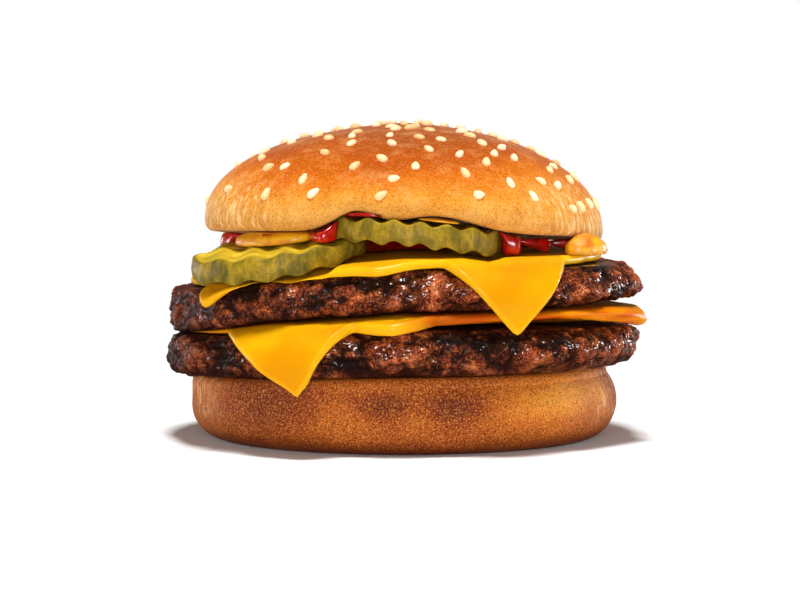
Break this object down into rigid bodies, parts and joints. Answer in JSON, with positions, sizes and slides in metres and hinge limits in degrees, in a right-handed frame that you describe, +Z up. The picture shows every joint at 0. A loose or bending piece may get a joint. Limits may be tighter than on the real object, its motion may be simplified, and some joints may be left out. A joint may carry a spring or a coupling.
{
  "type": "double cheeseburger",
  "caption": "Double cheeseburger in a seeded bun: grilled beef patties under melted cheese slices with hanging corners, crinkle-cut pickles, ketchup and mustard",
  "frame": {"origin": "on the table under the middle of the stack: the middle of the underside of the whole's box", "axes": "+Z up, -Y the front with the hanging cheese corners and the pickles, +X to the right seen from the front"},
  "size_m": [0.1112, 0.1112, 0.0741],
  "materials": {
    "bun_crust": "baked crust, satin",
    "heel_crust": "baked crust, matt",
    "beef": "grilled, matt with greasy spots",
    "cheese": "melted, satin",
    "pickle": "wet",
    "ketchup": "wet gloss",
    "mustard": "wet gloss",
    "sesame": "satin"
  },
  "bodies": {
    "root": {"bun_heel": "heel_crust", "patty_lower": "beef", "cheese_lower": "cheese", "patty_upper": "beef", "cheese_upper": "cheese", "pickle_left": "pickle", "pickle_right": "pickle", "ketchup": "ketchup", "mustard_left": "mustard", "mustard_front": "mustard", "mustard_right": "mustard", "ketchup_front": "ketchup", "bun_crown": "bun_crust"}
  },
  "joints": []
}
